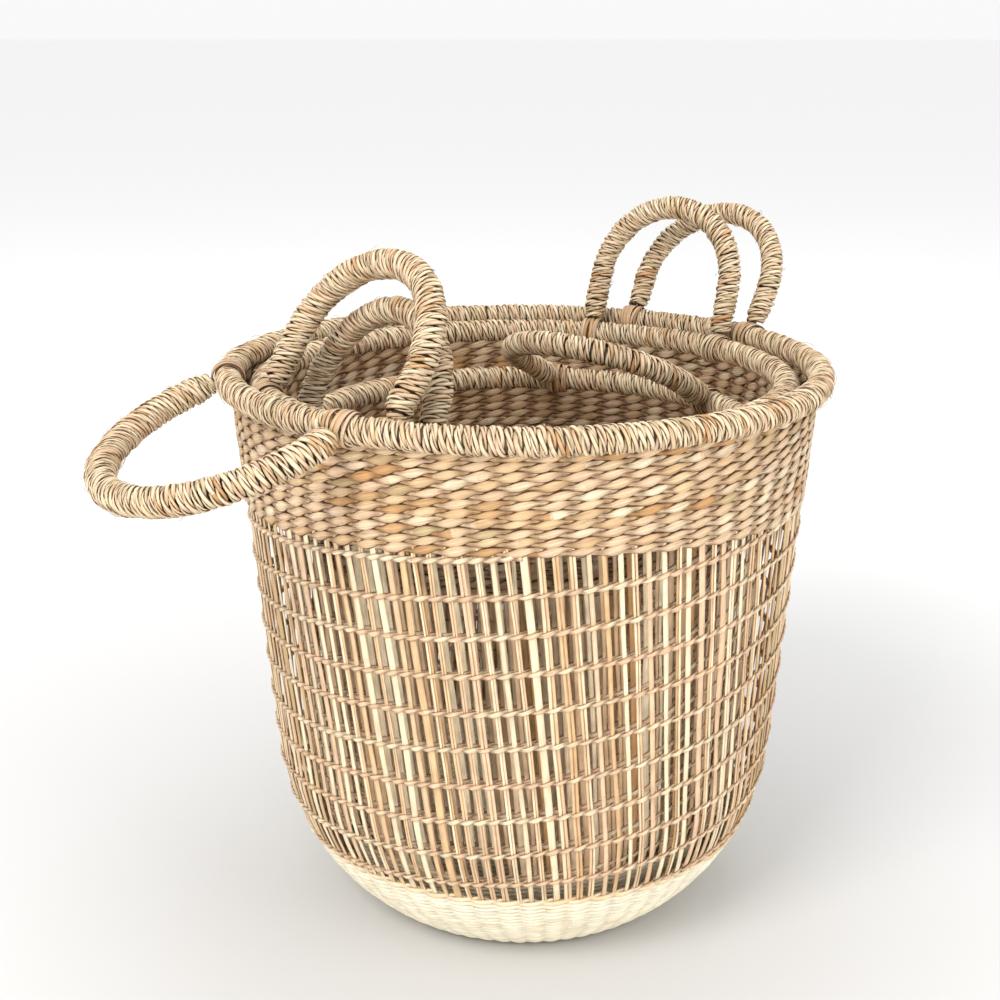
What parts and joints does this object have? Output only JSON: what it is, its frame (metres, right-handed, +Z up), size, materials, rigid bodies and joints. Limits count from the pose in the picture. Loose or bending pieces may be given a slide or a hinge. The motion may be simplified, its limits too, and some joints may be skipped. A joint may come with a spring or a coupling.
{
  "type": "nested storage basket set",
  "caption": "Round open-weave seagrass storage baskets nested in one another, each with a close band, a wound rim and swinging loop handles.",
  "frame": {"origin": "centre of the outer basket's underside, on the surface it stands on", "axes": "+Z up along the baskets' axis; -Y towards the front, +X to the right; the handles lie about 45 degrees from +X"},
  "size_m": [0.4794, 0.4259, 0.4791],
  "materials": {
    "seagrass_weave": "matt woven",
    "seagrass_cord": "matt twisted cord",
    "seagrass_base": "matt fine weave",
    "lashing_fibre": "slightly shiny split grass",
    "rattan_hoop": "bare cane"
  },
  "bodies": {
    "outer_basket": {"outer_base": "seagrass_base", "outer_stakes": "seagrass_weave", "outer_weft_rows": "seagrass_weave", "outer_band": "seagrass_weave", "outer_rim_hoop": "rattan_hoop", "outer_rim_wrap": "seagrass_cord", "outer_lashing_left": "lashing_fibre", "outer_lashing_right": "lashing_fibre"},
    "middle_basket": {"middle_base": "seagrass_base", "middle_stakes": "seagrass_weave", "middle_weft_rows": "seagrass_weave", "middle_band": "seagrass_weave", "middle_rim_hoop": "rattan_hoop", "middle_rim_wrap": "seagrass_cord", "middle_lashing_left": "lashing_fibre", "middle_lashing_right": "lashing_fibre"},
    "inner_basket": {"inner_base": "seagrass_base", "inner_stakes": "seagrass_weave", "inner_weft_rows": "seagrass_weave", "inner_band": "seagrass_weave", "inner_rim_hoop": "rattan_hoop", "inner_rim_wrap": "seagrass_cord", "inner_lashing_left": "lashing_fibre", "inner_lashing_right": "lashing_fibre"},
    "outer_handle_left": {"outer_handle_left_core": "rattan_hoop", "outer_handle_left_wrap": "seagrass_cord"},
    "outer_handle_right": {"outer_handle_right_core": "rattan_hoop", "outer_handle_right_wrap": "seagrass_cord"},
    "middle_handle_left": {"middle_handle_left_core": "rattan_hoop", "middle_handle_left_wrap": "seagrass_cord"},
    "middle_handle_right": {"middle_handle_right_core": "rattan_hoop", "middle_handle_right_wrap": "seagrass_cord"},
    "inner_handle_left": {"inner_handle_left_core": "rattan_hoop", "inner_handle_left_wrap": "seagrass_cord"},
    "inner_handle_right": {"inner_handle_right_core": "rattan_hoop", "inner_handle_right_wrap": "seagrass_cord"}
  },
  "joints": [
    {"name": "middle_lift", "type": "slide", "parent": "outer_basket", "child": "middle_basket", "axis": [0, 0, 1], "range_m": [0, 0.42]},
    {"name": "inner_lift", "type": "slide", "parent": "middle_basket", "child": "inner_basket", "axis": [0, 0, 1], "range_m": [0, 0.012]},
    {"name": "outer_left_swing", "type": "hinge", "parent": "outer_basket", "child": "outer_handle_left", "pos_m": [-0.15103, -0.10149, 0.38], "axis": [0.5577, -0.83, 0], "range_deg": [-94.4, 27.6]},
    {"name": "outer_right_swing", "type": "hinge", "parent": "outer_basket", "child": "outer_handle_right", "pos_m": [0.12716, 0.14424, 0.38], "axis": [-0.7501, 0.6613, 0], "range_deg": [-8.5, 107.5]},
    {"name": "middle_left_swing", "type": "hinge", "parent": "middle_basket", "child": "middle_handle_left", "pos_m": [-0.12385, -0.10881, 0.372], "axis": [0.66, -0.7513, 0], "range_deg": [0, 48]},
    {"name": "middle_right_swing", "type": "hinge", "parent": "middle_basket", "child": "middle_handle_right", "pos_m": [0.09838, 0.13641, 0.372], "axis": [-0.8111, 0.585, 0], "range_deg": [-50.8, 0]},
    {"name": "inner_left_swing", "type": "hinge", "parent": "inner_basket", "child": "inner_handle_left", "pos_m": [-0.11089, -0.08509, 0.3384], "axis": [0.6088, -0.7934, 0], "range_deg": [-28, 0]},
    {"name": "inner_right_swing", "type": "hinge", "parent": "inner_basket", "child": "inner_handle_right", "pos_m": [0.08124, 0.11432, 0.3384], "axis": [-0.8151, 0.5793, 0], "range_deg": [0, 37.3]}
  ]
}
